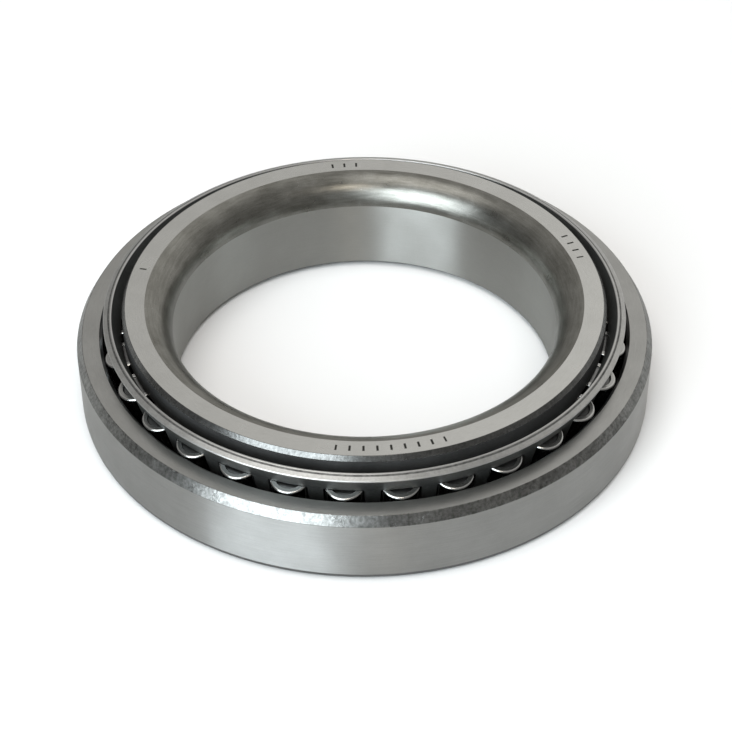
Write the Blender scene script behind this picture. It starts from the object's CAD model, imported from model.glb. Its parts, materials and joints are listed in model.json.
import json
import math

import bpy
from mathutils import Matrix, Vector


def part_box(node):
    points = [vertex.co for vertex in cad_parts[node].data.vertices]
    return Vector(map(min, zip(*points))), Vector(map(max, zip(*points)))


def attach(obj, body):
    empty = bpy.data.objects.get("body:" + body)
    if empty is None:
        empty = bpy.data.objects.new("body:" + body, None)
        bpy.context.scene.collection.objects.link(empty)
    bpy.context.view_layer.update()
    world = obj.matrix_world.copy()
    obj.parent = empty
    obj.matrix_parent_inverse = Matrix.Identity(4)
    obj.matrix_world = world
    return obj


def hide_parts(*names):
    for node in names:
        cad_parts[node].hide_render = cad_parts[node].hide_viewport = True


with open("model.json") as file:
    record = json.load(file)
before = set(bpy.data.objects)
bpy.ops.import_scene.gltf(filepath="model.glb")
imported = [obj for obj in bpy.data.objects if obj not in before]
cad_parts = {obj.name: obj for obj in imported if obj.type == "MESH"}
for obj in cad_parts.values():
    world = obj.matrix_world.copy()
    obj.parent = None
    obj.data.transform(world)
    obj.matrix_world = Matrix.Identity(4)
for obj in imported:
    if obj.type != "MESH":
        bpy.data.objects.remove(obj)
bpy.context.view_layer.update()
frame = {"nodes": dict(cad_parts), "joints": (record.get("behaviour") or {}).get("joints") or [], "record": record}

# Sizes are in millimetres until a mesh is made, and come from the frame where it states them.
MM = 0.001
TURN_STEPS = 480
EDGE_STEPS = 5

mounts = {m["name"]: m for m in frame["record"]["mounts"]}
joints = {j["name"]: j for j in frame["joints"]}
roller_names = sorted(name for name in frame["nodes"] if name.startswith("roller_"))
cup_top_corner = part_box("cup")[1] / MM
cone_low_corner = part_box("cone")[0] / MM
cone_top_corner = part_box("cone")[1] / MM

BORE = mounts["bore"]["dims"]["r_mm"]
OUTSIDE = mounts["cup_outside"]["dims"]["r_mm"]
CUP_TOP = cup_top_corner.z
CONE_FRONT = cone_low_corner.z
CONE_TOP = cone_top_corner.z
RIB = cone_top_corner.x

# Rolling geometry
CUP_ANGLE = math.radians(14.0)
ROLLER_TAPER = math.radians(1.015)
ROLLER_ANGLE = CUP_ANGLE - ROLLER_TAPER
CONE_ANGLE = CUP_ANGLE - 2 * ROLLER_TAPER
first_joint = joints[roller_names[0] + "_spin"]
end_place = Vector(first_joint["pos_m"]) / MM
ROLLER_END_RADIUS = math.hypot(end_place.x, end_place.y)
ROLLER_END_HEIGHT = end_place.z
FIRST_ANGLE = math.atan2(end_place.y, end_place.x)
ROLLER_STEP = math.tau / len(roller_names)
ROLLER_LENGTH = 10.6
ROLLER_SPIN = 2.4
RUNNING_GAP = 0.07
RIB_GAP = 0.08
APEX_TO_ROLLER_END = ROLLER_END_RADIUS / math.sin(ROLLER_ANGLE)
APEX_HEIGHT = ROLLER_END_HEIGHT - ROLLER_END_RADIUS / math.tan(ROLLER_ANGLE)
ROLLER_END = Vector((ROLLER_END_RADIUS, ROLLER_END_HEIGHT))
ROLLER_AXIS = Vector((math.sin(ROLLER_ANGLE), math.cos(ROLLER_ANGLE)))
ROLLER_OUTWARD = Vector((math.cos(ROLLER_ANGLE), -math.sin(ROLLER_ANGLE)))


# ---------------------------------------------------------------- meshes


class Builder:
    """Collects points with their own normals, and faces with their finish, and turns them into a piece."""

    def __init__(self):
        self.index = {}
        self.places = []
        self.normals = []
        self.faces = []
        self.finishes = []

    def point(self, key, place, normal):
        """The number of the point called key, made the first time it is asked for."""
        if key not in self.index:
            self.index[key] = len(self.places)
            self.places.append(Vector(place) * MM)
            self.normals.append(Vector(normal).normalized())
        return self.index[key]

    def face(self, corners, finish):
        self.faces.append(corners)
        self.finishes.append(finish)

    def mesh(self, name):
        """A mesh with one material slot for each finish used and the collected normals."""
        mesh = bpy.data.meshes.new(name)
        mesh.from_pydata(self.places, [], self.faces)
        names = sorted(set(self.finishes))
        for finish in names:
            mesh.materials.append(material_for(finish))
        mesh.polygons.foreach_set("material_index", [names.index(f) for f in self.finishes])
        mesh.polygons.foreach_set("use_smooth", [True] * len(self.faces))
        mesh.normals_split_custom_set_from_vertices(self.normals)
        mesh.validate()
        return mesh


def outline(corners):
    """Rounds a profile given anticlockwise as (radius, height, rounding, finish after, finish of rounding).

    Returns (place, normal, finish of the band that follows) for each point. A rounding of 0 is one step
    of a smooth curve.
    """
    points = []
    for i, (radius, height, rounding, finish, edge_finish) in enumerate(corners):
        here = Vector((radius, height))
        before = (here - Vector(corners[i - 1][:2])).normalized()
        after = (Vector(corners[(i + 1) % len(corners)][:2]) - here).normalized()
        normal = Vector((before.y, -before.x))
        if rounding == 0:
            points.append((here, (normal + Vector((after.y, -after.x))).normalized(), finish))
            continue
        turn = math.atan2(before.x * after.y - before.y * after.x, before.dot(after))
        side = math.copysign(rounding, turn)
        start = here - before * rounding * math.tan(abs(turn) / 2)
        centre = start - normal * side
        for step in range(EDGE_STEPS + 1):
            leaning = Matrix.Rotation(turn * step / EDGE_STEPS, 2) @ normal
            band = finish if step == EDGE_STEPS else edge_finish
            points.append((centre + leaning * side, leaning, band))
    return points


def around(place, angle):
    """The point or direction (radius, height) turned to an angle about the axis."""
    return Vector((place[0] * math.cos(angle), place[0] * math.sin(angle), place[1]))


def turn_profile(builder, points, columns, first_angle=0.0, closed=True):
    """Turns a profile about the axis. Bands with no finish are left open."""
    rings = len(points)
    for column in range(columns):
        for ring in range(rings if closed else rings - 1):
            finish = points[ring][2]
            if finish is None:
                continue
            corners = []
            for c, k in ((column, ring), (column + 1, ring), (column + 1, ring + 1), (column, ring + 1)):
                c, k = c % columns, k % rings
                angle = first_angle + c * math.tau / columns
                corners.append(
                    builder.point(("ring", k, c), around(points[k][0], angle), around(points[k][1], angle))
                )
            builder.face(corners, finish)


def add_piece(name, mesh, node, matrix=None):
    """Puts a mesh in the scene as the piece that stands for a CAD node and rides on its body."""
    piece = bpy.data.objects.new(name, mesh)
    bpy.context.scene.collection.objects.link(piece)
    if matrix is not None:
        piece.matrix_world = matrix
    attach(piece, node)
    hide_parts(node)
    return piece


def raceway(height, angle):
    """Radius of a raceway that leans by angle from the shared apex."""
    return (height - APEX_HEIGHT) * math.tan(angle)


def make_cup():
    """Outer ring: ground outside, chamfered at the open end, conical raceway inside."""
    builder = Builder()
    chamfer_wide = 0.9
    chamfer_high = 1.5
    bottom_corner = 1.1
    mouth_chamfer = 0.5
    mouth_height = CUP_TOP - mouth_chamfer
    mouth = raceway(mouth_height, CUP_ANGLE)
    corners = [
        (raceway(0, CUP_ANGLE), 0, 0.4, "cup_face", "turned_edge"),
        (OUTSIDE, 0, bottom_corner, "ground_outside", "turned_edge"),
        (OUTSIDE, CUP_TOP - chamfer_high, 0.15, "cup_chamfer", "cup_chamfer"),
        (OUTSIDE - chamfer_wide, CUP_TOP, 0.12, "cup_face", "cup_chamfer"),
        (mouth + mouth_chamfer, CUP_TOP, 0.08, "turned_edge", "cup_chamfer"),
        (mouth, mouth_height, 0.08, "raceway", "turned_edge"),
    ]
    turn_profile(builder, outline(corners), TURN_STEPS)
    add_piece("outer_ring", builder.mesh("outer_ring"), "cup")


def rib_height(radius):
    """Height of the rib's inner flank, along the rollers' large ends."""
    start = ROLLER_END + ROLLER_AXIS * RIB_GAP
    return start.y - (radius - start.x) * math.tan(ROLLER_ANGLE)


def bore_corner(steps=16):
    """The large rounded corner from the back face down to the ground bore, as steps of an arc."""
    wide = 4.06
    deep = 4.6
    curve = 5.2
    start = Vector((BORE + wide, CONE_TOP))
    end = Vector((BORE, CONE_TOP - deep))
    chord = end - start
    rise = math.sqrt(curve * curve - chord.length_squared / 4)
    centre = (start + end) / 2 + Vector((-chord.y, chord.x)).normalized() * rise
    first = math.atan2(start.y - centre.y, start.x - centre.x)
    last = math.atan2(end.y - centre.y, end.x - centre.x)
    corners = [(start.x, start.y, 0.06, "bore_corner", "bore_corner")]
    for step in range(1, steps):
        angle = first + (last - first) * step / steps
        place = centre + curve * Vector((math.cos(angle), math.sin(angle)))
        corners.append((place.x, place.y, 0, "bore_corner", None))
    corners.append((end.x, end.y, 0.05, "ground_bore", "bore_corner"))
    return corners


def make_cone():
    """Inner ring: raceway between two ribs, ground bore, large rounded corner at the back face."""
    builder = Builder()
    track_low = 2.6
    track_high = 12.3
    small_rib = 33.9
    small_rib_top = 2.3
    relief = 34.8
    relief_low = 12.6
    relief_high = 13.3
    rib_foot = 35.35
    rib_chamfer_wide = 0.48
    rib_chamfer_high = 0.75
    bore_chamfer = 0.45
    low_radius = raceway(track_low, CONE_ANGLE)
    corners = [
        (BORE + bore_chamfer, CONE_FRONT, 0.06, "cone_face", "turned_edge"),
        (small_rib, CONE_FRONT, 0.4, "turned_edge", "turned_edge"),
        (small_rib, small_rib_top, 0.2, "turned_edge", "turned_edge"),
        (low_radius - 0.15, small_rib_top, 0.1, "turned_edge", "turned_edge"),
        (low_radius, track_low, 0.1, "raceway", "turned_edge"),
        (raceway(track_high, CONE_ANGLE), track_high, 0.1, "turned_edge", "turned_edge"),
        (relief, relief_low, 0.2, "turned_edge", "turned_edge"),
        (relief, relief_high, 0.2, "turned_edge", "turned_edge"),
        (rib_foot, rib_height(rib_foot), 0.1, "raceway", "turned_edge"),
        (RIB, rib_height(RIB), 0.25, "rib_side", "rib_side"),
        (RIB, CONE_TOP - rib_chamfer_high, 0.15, "rib_chamfer", "rib_chamfer"),
        (RIB - rib_chamfer_wide, CONE_TOP, 0.1, "cone_face", "rib_chamfer"),
        *bore_corner(),
        (BORE, CONE_FRONT + bore_chamfer, 0.06, "turned_edge", "turned_edge"),
    ]
    turn_profile(builder, outline(corners), TURN_STEPS)
    add_piece("inner_ring", builder.mesh("inner_ring"), "cone")


def roller_radius(along):
    """A roller's nominal radius at a place along its axis, which is 0 at the large end."""
    return (APEX_TO_ROLLER_END + along) * math.tan(ROLLER_TAPER)


def make_rollers():
    """All rollers share one mesh: a tapered body, ground ends and a recess in the large end."""
    builder = Builder()
    core = 0.3
    corner = 0.3
    recess = 2.1
    recess_floor = -0.3
    columns = 96
    small_radius = roller_radius(-ROLLER_LENGTH) - RUNNING_GAP
    large_radius = roller_radius(0) - RUNNING_GAP
    corners = [
        (core, -ROLLER_LENGTH, 0, "roller_end", None),
        (small_radius, -ROLLER_LENGTH, corner, "roller_side", "roller_edge"),
        (large_radius, 0, corner, "roller_end", "roller_edge"),
        (recess, 0, 0.08, "roller_recess", "roller_edge"),
        (recess - 0.05, recess_floor, 0.12, "roller_recess", "roller_recess"),
        (core, recess_floor, 0, "roller_recess", None),
    ]
    points = outline(corners)
    points[0] = (points[0][0], Vector((0, -1)), points[0][2])
    points[-1] = (points[-1][0], Vector((0, 1)), points[-1][2])
    turn_profile(builder, points, columns, closed=False)
    last = len(points) - 1
    builder.face([builder.index["ring", 0, c] for c in reversed(range(columns))], "roller_end")
    builder.face([builder.index["ring", last, c] for c in range(columns)], "roller_recess")
    mesh = builder.mesh("roller")
    for number, name in enumerate(roller_names):
        joint = joints[name + "_spin"]
        axis = Vector(joint["axis"]).normalized()
        lean = axis.to_track_quat("Z", "Y").to_matrix().to_4x4()
        spin = Matrix.Rotation(number * ROLLER_SPIN, 4, "Z")
        place = Matrix.Translation(joint["pos_m"]) @ lean @ spin
        add_piece("steel_" + name, mesh, name, place)


# ---------------------------------------------------------------- cage

# Sheet, lip, flange and bends of the cage, and its windows. A window's gaps are those at the roller's sides,
# large end and small end, and the bands on the rim start at these shares of its width from the outside.
SHEET = 1.5
CAGE_ANGLE = math.radians(15.0)
LIP_ANGLE = math.radians(25.0)
LIP_TOP = Vector((40.65, 15.16))
LIP_BEND_HEIGHT = 12.6
LIP_BEND_CURVE = 2.0
FLANGE_INNER = 34.4
FLANGE_BOTTOM = 0.35
FLANGE_CURVE = 0.3
RIM_BANDS = ((0.56, "cage_cut"), (0.76, "cage_rim"))
WINDOW_COLUMNS = TURN_STEPS // len(roller_names)
WINDOW_ROWS = 24
WINDOW_CORNER = 0.45
WINDOW_GAPS = (0.2, 0.2, 0.25)
WINDOW_EDGE = 0.08
ARC_STEPS = 3


def cage_profile():
    """The cage's sheet in section, with its two window bands left open."""
    bend = Vector((LIP_TOP.x - (LIP_TOP.y - LIP_BEND_HEIGHT) * math.tan(LIP_ANGLE), LIP_BEND_HEIGHT))
    foot = Vector((bend.x - (bend.y - FLANGE_BOTTOM) * math.tan(CAGE_ANGLE), FLANGE_BOTTOM))
    middle = (CAGE_ANGLE + LIP_ANGLE) / 2
    inner_lip = LIP_TOP + SHEET * Vector((-math.cos(LIP_ANGLE), math.sin(LIP_ANGLE)))
    inner_bend = bend + SHEET * Vector((-math.cos(middle), math.sin(middle)))
    inner_floor = FLANGE_BOTTOM + SHEET
    inner_foot = inner_bend.x - (inner_bend.y - inner_floor) * math.tan(CAGE_ANGLE)
    return outline(
        [
            (FLANGE_INNER, FLANGE_BOTTOM, 0.1, "cage_sheet", "cage_rim_edge"),
            (foot.x, foot.y, FLANGE_CURVE + SHEET, None, "cage_sheet"),
            (bend.x, bend.y, LIP_BEND_CURVE, "cage_sheet", "cage_sheet"),
            (LIP_TOP.x, LIP_TOP.y, 0.2, "cage_rim", "cage_rim_edge"),
            *[(*LIP_TOP.lerp(inner_lip, part), 0, finish, None) for part, finish in RIM_BANDS],
            (inner_lip.x, inner_lip.y, 0.22, "cage_sheet", "cage_rim_edge"),
            (inner_bend.x, inner_bend.y, LIP_BEND_CURVE - SHEET, None, "cage_sheet"),
            (inner_foot, inner_floor, FLANGE_CURVE, "cage_sheet", "cage_sheet"),
            (FLANGE_INNER, inner_floor, 0.1, "cage_rim", "cage_rim_edge"),
        ]
    )


class Wall:
    """One window band of the cage: a cone between a low and a high ring, seen from one window's middle."""

    def __init__(self, points, ring_low, ring_high):
        self.low = points[ring_low][0]
        self.normal = points[ring_low][1]
        self.rings = (ring_low, ring_high)
        run = points[ring_high][0] - self.low
        self.length = run.length
        self.along = run / self.length

    def section(self, height_along):
        """Radius and height of a place on the wall."""
        return self.low + self.along * height_along

    def reach(self, roller_along):
        """How far up the wall lies the plane across the roller at a place along its axis."""
        return (roller_along - (self.low - ROLLER_END).dot(ROLLER_AXIS)) / self.along.dot(ROLLER_AXIS)

    def half_width(self, roller_along, gap):
        """Half the width that a roller needs where it passes through the wall."""
        off_axis = (self.section(self.reach(roller_along)) - ROLLER_END).dot(ROLLER_OUTWARD)
        return math.sqrt((roller_radius(roller_along) + gap) ** 2 - off_axis**2)

    def turn(self, sideways, height_along):
        """Angle about the bearing's axis from the window's middle to a place on the wall."""
        return math.asin(sideways / self.section(height_along).x)

    def place(self, middle, sideways, height_along):
        """A place on the wall, in the bearing's coordinates."""
        return around(self.section(height_along), middle + self.turn(sideways, height_along))

    def border(self):
        """The patch of wall that the window sits in, once round, as (sideways, height along)."""
        points = []
        for side, steps in enumerate((WINDOW_COLUMNS, WINDOW_ROWS, WINDOW_COLUMNS, WINDOW_ROWS)):
            for step in range(steps):
                part = step / steps if side < 2 else 1 - step / steps
                across = (part * 2 - 1, 1, part * 2 - 1, -1)[side]
                height = (0, part, 1, part)[side] * self.length
                turn = across * ROLLER_STEP / 2
                points.append((self.section(height).x * math.sin(turn), height))
        return points

    def window(self, grow):
        """The window's rounded outline, point for point with border(), as (place, direction outward)."""
        side_gap, top_gap, low_gap = WINDOW_GAPS
        low_at, high_at = -ROLLER_LENGTH - low_gap, top_gap
        low, high = self.reach(low_at) - grow, self.reach(high_at) + grow
        wide = (self.half_width(low_at, side_gap) + grow, self.half_width(high_at, side_gap) + grow)
        corner = WINDOW_CORNER + grow
        centres = [
            (-wide[0] + corner, low + corner),
            (wide[0] - corner, low + corner),
            (wide[1] - corner, high - corner),
            (-wide[1] + corner, high - corner),
        ]
        points = []
        for side, steps in enumerate((WINDOW_COLUMNS, WINDOW_ROWS, WINDOW_COLUMNS, WINDOW_ROWS)):
            facing = -math.pi / 2 + side * math.pi / 2
            start, stop = Vector(centres[side]), Vector(centres[(side + 1) % 4])
            for step in range(steps):
                if step < ARC_STEPS:
                    angle, centre = facing - math.pi / 4 * (1 - step / ARC_STEPS), start
                elif step > steps - ARC_STEPS:
                    angle, centre = facing + math.pi / 4 * (step - steps + ARC_STEPS) / ARC_STEPS, stop
                else:
                    part = (step - ARC_STEPS) / (steps - 2 * ARC_STEPS)
                    angle, centre = facing, start.lerp(stop, part)
                out = Vector((math.cos(angle), math.sin(angle)))
                points.append((centre + out * corner, out))
        return points


def face_rows(builder, wall, side, number, middle):
    """Points on one face of the sheet round a window: at the border, part of the way in and at the edge."""
    part_way = 0.6
    facing = around(wall.normal, middle)
    rows = [[], [], []]
    for i, (border, (edge, _)) in enumerate(zip(wall.border(), wall.window(WINDOW_EDGE), strict=True)):
        key = wall_key(wall, number, *border_key(i))
        normal = around(wall.normal, middle + wall.turn(*border))
        between = Vector(border).lerp(edge, part_way)
        rows[0].append(builder.point(key, wall.place(middle, *border), normal))
        rows[1].append(builder.point(("mid", side, number, i), wall.place(middle, *between), facing))
        rows[2].append(builder.point(("edge", side, number, i), wall.place(middle, *edge), facing))
    return rows


def hole_row(builder, outer, inner, number, middle, depth, leaning):
    """Points round a window's wall at a share of the sheet's depth, with normals that may lean to one face."""
    sideways = Vector((-math.sin(middle), math.cos(middle), 0))
    upward = around(outer.along, middle)
    row = []
    for i, ((near, out), (far, _)) in enumerate(zip(outer.window(0), inner.window(0), strict=True)):
        place = outer.place(middle, *near).lerp(inner.place(middle, *far), depth)
        normal = -(sideways * out.x + upward * out.y)
        if leaning is not None:
            normal += around(leaning.normal, middle)
        row.append(builder.point(("wall", depth, number, i), place, normal))
    return row


def add_window(builder, outer, inner, number, middle):
    """One window: both faces of the sheet round it, its rounded edges and its walls."""
    rows = face_rows(builder, outer, "outer", number, middle)
    for depth, leaning in ((0.03, outer), (0.1, None), (0.9, None), (0.97, inner)):
        rows.append(hole_row(builder, outer, inner, number, middle, depth, leaning))
    rows += reversed(face_rows(builder, inner, "inner", number, middle))
    face_bands = (0, 1, len(rows) - 3, len(rows) - 2)
    for band, (upper, lower) in enumerate(zip(rows, rows[1:])):
        finish = "cage_sheet" if band in face_bands else "cage_window"
        for i in range(len(upper)):
            j = (i + 1) % len(upper)
            builder.face([upper[i], upper[j], lower[j], lower[i]], finish)


def border_key(i):
    """Column and row of a border point, counted from the window's low left corner."""
    if i < WINDOW_COLUMNS:
        return i, 0
    i -= WINDOW_COLUMNS
    if i < WINDOW_ROWS:
        return WINDOW_COLUMNS, i
    i -= WINDOW_ROWS
    if i < WINDOW_COLUMNS:
        return WINDOW_COLUMNS - i, WINDOW_ROWS
    return 0, WINDOW_ROWS - (i - WINDOW_COLUMNS)


def wall_key(wall, number, column, row):
    """The name of a border point, shared with the next window and with the rings above and below."""
    total = (number * WINDOW_COLUMNS + column) % TURN_STEPS
    if row == 0:
        return ("ring", wall.rings[0], total)
    if row == WINDOW_ROWS:
        return ("ring", wall.rings[1], total)
    return ("side", wall.rings[0], total, row)


def make_cage():
    """Pressed sheet cage with one window for each roller."""
    builder = Builder()
    points = cage_profile()
    first = FIRST_ANGLE - ROLLER_STEP / 2
    turn_profile(builder, points, TURN_STEPS, first)
    outside, inside = [ring for ring, point in enumerate(points) if point[2] is None]
    outer = Wall(points, outside, outside + 1)
    inner = Wall(points, inside + 1, inside)
    for number in range(len(roller_names)):
        add_window(builder, outer, inner, number, FIRST_ANGLE + number * ROLLER_STEP)
    add_piece("pressed_cage", builder.mesh("pressed_cage"), "cage")


# ---------------------------------------------------------------- materials


def add_node(tree, kind, inputs=None, **settings):
    """Adds a node. Inputs are given by name or number, each a value or another node's output."""
    node = tree.nodes.new(kind)
    for name, value in settings.items():
        setattr(node, name, value)
    for name, value in (inputs or {}).items():
        if isinstance(value, bpy.types.NodeSocket):
            tree.links.new(value, node.inputs[name])
        else:
            node.inputs[name].default_value = value
    return node


def maths(tree, operation, *values, clamp=False):
    """One Math node's output."""
    node = add_node(tree, "ShaderNodeMath", dict(enumerate(values)), operation=operation, use_clamp=clamp)
    return node.outputs[0]


def mixed_colour(tree, share, first, second):
    """A colour between two others, by a share from 0 to 1."""
    inputs = {"Factor": share, 6: first, 7: second}
    return add_node(tree, "ShaderNodeMix", inputs, data_type="RGBA").outputs[2]


def remap(tree, value, low, high, to_low=0.0, to_high=1.0):
    """A value moved smoothly from one range to another, and held at its ends."""
    inputs = {"Value": value, "From Min": low, "From Max": high, "To Min": to_low, "To Max": to_high}
    return add_node(tree, "ShaderNodeMapRange", inputs, interpolation_type="SMOOTHSTEP").outputs[0]


def noise(tree, vector, scale, detail=2.0, rough=0.5):
    """Noise from 0 to 1 at a scale in features per unit of the vector."""
    inputs = {"Vector": vector, "Scale": scale, "Detail": detail, "Roughness": rough}
    return add_node(tree, "ShaderNodeTexNoise", inputs).outputs["Fac"]


def surface_places(tree):
    """The piece's own coordinates in millimetres, and coordinates that follow marks turned round its axis."""
    own = add_node(tree, "ShaderNodeTexCoord").outputs["Object"]
    scaled = add_node(tree, "ShaderNodeVectorMath", {0: own, "Scale": 1 / MM}, operation="SCALE")
    millimetres = scaled.outputs[0]
    split = add_node(tree, "ShaderNodeSeparateXYZ", {0: millimetres}).outputs
    flat = add_node(tree, "ShaderNodeCombineXYZ", {"X": split[0], "Y": split[1]}).outputs[0]
    radius = add_node(tree, "ShaderNodeVectorMath", {0: flat}, operation="LENGTH").outputs["Value"]
    unit = add_node(tree, "ShaderNodeVectorMath", {0: flat}, operation="NORMALIZE").outputs[0]
    return millimetres, split, radius, unit


def turned_vector(tree, radius, height, unit, fine, along):
    """A vector in which noise makes lines round the axis: fine across them, along by the turn."""
    across = maths(tree, "MULTIPLY", maths(tree, "ADD", radius, height), fine)
    ring = add_node(tree, "ShaderNodeVectorMath", {0: unit, "Scale": along}, operation="SCALE").outputs[0]
    split = add_node(tree, "ShaderNodeSeparateXYZ", {0: ring}).outputs
    return add_node(tree, "ShaderNodeCombineXYZ", {"X": across, "Y": split[0], "Z": split[1]}).outputs[0]


# Noise keeps near its middle, so each share of a steel's tone is widened by this much.
NOISE_SPREAD = 2.4
TICK_DEPTH = 0.08
TICK_COLOUR = (0.05, 0.05, 0.045, 1)
HAIR_SCALE = 0.35
HAIR_HALF_WIDTH = 0.004
HAIR_DEPTH = 0.004


def steel(
    name,
    dark,
    light,
    roughness,
    anisotropy=0.0,
    lines=(9.0, 30.0, 0.3, 0.002),
    clouds=(0.18, 0.3, 0.05),
    grain=(4.0, 0.15, 0.0),
    scratches=0.0,
    metal=1.0,
    marks=False,
):
    """Machined steel.

    lines: lines per millimetre, noise along the turn, share of the tone, height in mm.
    clouds: patches per millimetre, share of the tone, change of roughness.
    grain: grains per millimetre, share of the tone, height in mm.
    scratches: how much fine hairlines lighten it.
    marks: engraves groups of plain ticks in it.
    """
    material = bpy.data.materials.new(name)
    material.use_nodes = True
    tree = material.node_tree
    shader = tree.nodes["Principled BSDF"]
    shader.inputs["Metallic"].default_value = metal
    millimetres, split, radius, unit = surface_places(tree)
    line_vector = turned_vector(tree, radius, split[2], unit, lines[0], lines[1])
    line_noise = noise(tree, line_vector, 1.0, 3.0, 0.6)
    cloud_noise = noise(tree, millimetres, clouds[0], 3.0, 0.55)
    grain_noise = noise(tree, millimetres, grain[0], 3.0, 0.6)
    tone = 0.5
    for source, share in ((line_noise, lines[2]), (cloud_noise, clouds[1]), (grain_noise, grain[1])):
        centred = maths(tree, "SUBTRACT", source, 0.5)
        tone = maths(tree, "MULTIPLY_ADD", centred, share * NOISE_SPREAD, tone)
    height = maths(tree, "MULTIPLY", line_noise, lines[3])
    height = maths(tree, "MULTIPLY_ADD", grain_noise, grain[2], height)
    if scratches:
        bent = noise(tree, millimetres, HAIR_SCALE, 4.0, 0.55)
        hair = maths(tree, "ABSOLUTE", maths(tree, "SUBTRACT", bent, 0.5))
        sparse = remap(tree, cloud_noise, 0.5, 0.6)
        hair = maths(tree, "MULTIPLY", remap(tree, hair, 0.0, HAIR_HALF_WIDTH, 1.0, 0.0), sparse)
        tone = maths(tree, "MULTIPLY_ADD", hair, scratches, tone)
        height = maths(tree, "MULTIPLY_ADD", hair, -HAIR_DEPTH, height)
    tone = maths(tree, "ADD", tone, 0.0, clamp=True)
    colour = mixed_colour(tree, tone, (*dark, 1), (*light, 1))
    if marks:
        engraved = tick_marks(tree, split, radius)
        colour = mixed_colour(tree, engraved, colour, TICK_COLOUR)
        height = maths(tree, "MULTIPLY_ADD", engraved, -TICK_DEPTH, height)
    tree.links.new(colour, shader.inputs["Base Color"])
    spread = maths(tree, "MULTIPLY_ADD", maths(tree, "SUBTRACT", cloud_noise, 0.5), clouds[2] * 2, roughness)
    tree.links.new(maths(tree, "ADD", spread, 0.0, clamp=True), shader.inputs["Roughness"])
    bump = add_node(tree, "ShaderNodeBump", {"Height": height, "Distance": MM, "Strength": 1.0})
    tree.links.new(bump.outputs[0], shader.inputs["Normal"])
    if anisotropy:
        shader.inputs["Anisotropic"].default_value = anisotropy
        shader.inputs["Anisotropic Rotation"].default_value = 0.25
        tangent = add_node(tree, "ShaderNodeTangent", direction_type="RADIAL", axis="Z")
        tree.links.new(tangent.outputs[0], shader.inputs["Tangent"])
    return material


# Groups of ticks on the inner ring's back face: each group's middle and reach, in degrees about the axis
TICK_GROUPS = ((-84.0, 13.0), (21.0, 6.0), (95.0, 5.0), (170.0, 1.4))
TICK_SPACING = 3.2
TICK_RADIUS = 35.55
TICK_HALF_LENGTH = 0.55
TICK_HALF_WIDTH = 0.15


def tick_marks(tree, split, radius):
    """1 inside the groups of short radial ticks engraved in the back face, and 0 elsewhere."""
    angle = maths(tree, "DEGREES", maths(tree, "ARCTAN2", split[1], split[0]))
    groups = 0.0
    for middle, reach in TICK_GROUPS:
        groups = maths(tree, "ADD", maths(tree, "COMPARE", angle, middle, reach), groups)
    step = maths(tree, "PINGPONG", maths(tree, "SUBTRACT", angle, TICK_GROUPS[0][0]), TICK_SPACING / 2)
    width = math.degrees(TICK_HALF_WIDTH / TICK_RADIUS)
    tick = remap(tree, step, width * 0.7, width * 1.3, 1.0, 0.0)
    along = maths(tree, "COMPARE", radius, TICK_RADIUS, TICK_HALF_LENGTH)
    back_face = maths(tree, "GREATER_THAN", split[2], CONE_TOP - 0.5)
    mark = maths(tree, "MULTIPLY", tick, along)
    return maths(tree, "MULTIPLY", mark, maths(tree, "MULTIPLY", groups, back_face))


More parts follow.
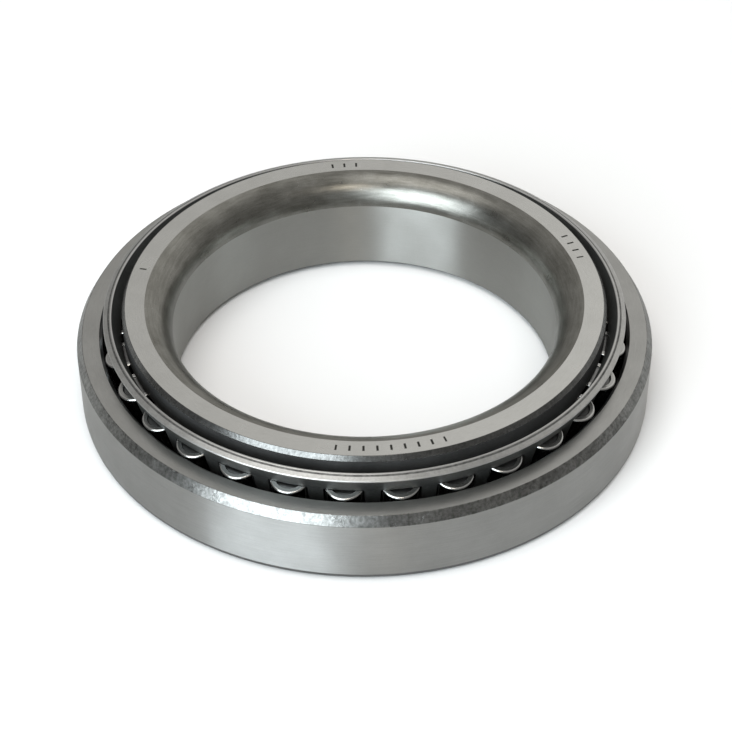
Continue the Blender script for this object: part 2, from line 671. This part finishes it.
STEELS = {
    "cup_face": dict(dark=(0.37, 0.37, 0.36), light=(0.56, 0.56, 0.545), roughness=0.3, scratches=0.15),
    "cone_face": dict(dark=(0.60, 0.60, 0.58), light=(0.78, 0.78, 0.76), roughness=0.26, marks=True),
    "cup_chamfer": dict(
        dark=(0.11, 0.11, 0.105),
        light=(0.38, 0.38, 0.37),
        roughness=0.28,
        lines=(3.0, 60.0, 0.5, 0.008),
        grain=(2.2, 0.6, 0.022),
        scratches=0.4,
    ),
    "ground_outside": dict(
        dark=(0.42, 0.42, 0.41),
        light=(0.59, 0.59, 0.58),
        roughness=0.34,
        anisotropy=1.0,
        lines=(6.0, 9.0, 0.35, 0.0),
        clouds=(0.14, 0.45, 0.03),
        scratches=0.3,
    ),
    "turned_edge": dict(dark=(0.16, 0.16, 0.16), light=(0.3, 0.3, 0.3), roughness=0.35),
    "raceway": dict(dark=(0.5, 0.5, 0.49), light=(0.62, 0.62, 0.61), roughness=0.14, anisotropy=0.4),
    "rib_side": dict(dark=(0.11, 0.11, 0.11), light=(0.32, 0.32, 0.32), roughness=0.42, metal=0.9),
    "rib_chamfer": dict(
        dark=(0.07, 0.07, 0.068),
        light=(0.26, 0.26, 0.255),
        roughness=0.26,
        lines=(4.0, 80.0, 0.4, 0.006),
        grain=(3.5, 0.4, 0.012),
    ),
    "bore_corner": dict(
        dark=(0.15, 0.147, 0.13),
        light=(0.38, 0.375, 0.35),
        roughness=0.3,
        lines=(2.0, 10.0, 0.4, 0.01),
        clouds=(0.2, 0.4, 0.08),
        grain=(5.0, 0.2, 0.004),
        scratches=0.5,
    ),
    "ground_bore": dict(
        dark=(0.42, 0.42, 0.40),
        light=(0.56, 0.56, 0.54),
        roughness=0.34,
        anisotropy=1.0,
        lines=(8.0, 10.0, 0.2, 0.0),
    ),
    "cage_sheet": dict(
        dark=(0.08, 0.083, 0.08),
        light=(0.23, 0.235, 0.23),
        roughness=0.5,
        grain=(3.0, 0.3, 0.006),
        metal=0.9,
    ),
    "cage_window": dict(dark=(0.2, 0.2, 0.2), light=(0.34, 0.34, 0.34), roughness=0.4),
    "cage_rim": dict(
        dark=(0.40, 0.40, 0.39),
        light=(0.68, 0.68, 0.67),
        roughness=0.33,
        clouds=(0.3, 0.3, 0.1),
        grain=(3.0, 0.4, 0.012),
    ),
    "cage_cut": dict(
        dark=(0.05, 0.05, 0.05), light=(0.3, 0.3, 0.295), roughness=0.45, grain=(2.0, 0.6, 0.03)
    ),
    "cage_rim_edge": dict(dark=(0.5, 0.5, 0.49), light=(0.74, 0.74, 0.73), roughness=0.32),
    "roller_side": dict(dark=(0.55, 0.55, 0.54), light=(0.66, 0.66, 0.65), roughness=0.12),
    "roller_end": dict(dark=(0.38, 0.38, 0.375), light=(0.56, 0.56, 0.55), roughness=0.22),
    "roller_edge": dict(dark=(0.6, 0.6, 0.59), light=(0.72, 0.72, 0.71), roughness=0.22),
    "roller_recess": dict(dark=(0.2, 0.2, 0.2), light=(0.36, 0.36, 0.36), roughness=0.32),
}


def material_for(finish):
    """The material of a finish, made the first time it is asked for."""
    return bpy.data.materials.get(finish) or steel(finish, **STEELS[finish])


# ---------------------------------------------------------------- floor, light and camera


def make_floor():
    """A large plain pale floor just under the bearing. It is greyer where the steel mirrors it."""
    size = 4.0
    mesh = bpy.data.meshes.new("floor")
    corners = [(-size, -size, 0), (size, -size, 0), (size, size, 0), (-size, size, 0)]
    mesh.from_pydata(corners, [], [(0, 1, 2, 3)])
    floor = bpy.data.objects.new("floor", mesh)
    bpy.context.scene.collection.objects.link(floor)
    material = bpy.data.materials.new("pale_floor")
    material.use_nodes = True
    tree = material.node_tree
    shader = tree.nodes["Principled BSDF"]
    mirrored = add_node(tree, "ShaderNodeLightPath").outputs["Is Glossy Ray"]
    colour = mixed_colour(tree, mirrored, (0.86, 0.86, 0.86, 1), (0.46, 0.46, 0.455, 1))
    tree.links.new(colour, shader.inputs["Base Color"])
    shader.inputs["Roughness"].default_value = 0.9
    shader.inputs["Specular IOR Level"].default_value = 0.1
    mesh.materials.append(material)


def direction(azimuth, elevation):
    """A direction by degrees to the right of straight in front, and degrees above the floor."""
    a, e = math.radians(azimuth), math.radians(elevation)
    return Vector((math.sin(a) * math.cos(e), -math.cos(a) * math.cos(e), math.sin(e)))


def softbox(name, azimuth, elevation, distance, width, height, power, colour, glossy=True):
    """A rectangular lamp aimed at the bearing."""
    lamp = bpy.data.lights.new(name, "AREA")
    lamp.shape = "RECTANGLE"
    lamp.size, lamp.size_y = width, height
    lamp.energy = power
    lamp.color = colour
    holder = bpy.data.objects.new(name, lamp)
    bpy.context.scene.collection.objects.link(holder)
    toward = direction(azimuth, elevation)
    holder.location = toward * distance
    holder.rotation_mode = "QUATERNION"
    holder.rotation_quaternion = toward.to_track_quat("Z", "Y")
    holder.visible_camera = False
    holder.visible_glossy = glossy


def make_world():
    """A soft room: dim in front, lighter behind and to the right, with a glow overhead to the left."""
    world = bpy.data.worlds.new("room")
    bpy.context.scene.world = world
    world.use_nodes = True
    tree = world.node_tree
    background = tree.nodes["Background"]
    toward = add_node(tree, "ShaderNodeTexCoord").outputs["Generated"]
    split = add_node(tree, "ShaderNodeSeparateXYZ", {0: toward}).outputs
    behind = remap(tree, split[1], -0.1, 0.7, 0.2, 0.55)
    rightward = remap(tree, split[0], -0.35, 0.35, 0.72, 1.3)
    level = maths(tree, "MULTIPLY", behind, rightward)
    level = maths(tree, "MULTIPLY", level, remap(tree, split[2], 0.45, 0.8, 0.88, 1.2))
    glow = {0: toward, 1: Vector((-0.26, -0.12, 0.958)).normalized()}
    nearness = add_node(tree, "ShaderNodeVectorMath", glow, operation="DOT_PRODUCT").outputs["Value"]
    level = maths(tree, "ADD", level, remap(tree, nearness, 0.915, 0.98, 0.0, 1.6))
    shown = add_node(tree, "ShaderNodeLightPath").outputs["Is Camera Ray"]
    colour = mixed_colour(tree, shown, (1, 0.985, 0.95, 1), (1, 1, 1, 1))
    strength = add_node(tree, "ShaderNodeMix", {"Factor": shown, 2: level, 3: 0.95}, data_type="FLOAT")
    tree.links.new(colour, background.inputs["Color"])
    tree.links.new(strength.outputs[0], background.inputs["Strength"])


def make_lights():
    """A window in front to the left, a small warm lamp high in front, and floor light unseen in the steel."""
    softbox("window", -33.5, 25, 1.0, 0.74, 0.78, 10.5, (0.86, 0.95, 1.0))
    softbox("window_side", -8, 25, 1.0, 0.17, 0.78, 0.5, (0.88, 0.96, 1.0))
    softbox("warm_lamp", 8, 52, 1.0, 0.14, 0.2, 0.6, (1.0, 0.9, 0.76))
    softbox("floor_light", 0, 80, 1.6, 1.6, 1.6, 14.5, (1, 1, 1), glossy=False)


def make_camera():
    """The camera looks at the middle of the bearing's back face, from the front and above."""
    elevation = 40.254
    distance = 0.3288
    roll = -0.354
    camera = bpy.data.cameras.new("camera")
    camera.sensor_width = 36.0
    camera.lens = 100.64
    camera.shift_x = 0.0017
    camera.shift_y = 0.0164
    camera.clip_start, camera.clip_end = 0.01, 20.0
    holder = bpy.data.objects.new("camera", camera)
    bpy.context.scene.collection.objects.link(holder)
    toward = direction(0, elevation)
    level = toward.to_track_quat("Z", "Y").to_matrix().to_4x4()
    tilt = Matrix.Rotation(math.radians(roll), 4, "Z")
    holder.matrix_world = Matrix.Translation(toward * distance) @ level @ tilt
    bpy.context.scene.camera = holder


make_cup()
make_cone()
make_cage()
make_rollers()
make_floor()
make_world()
make_lights()
make_camera()
bpy.context.scene.view_settings.view_transform = "Standard"
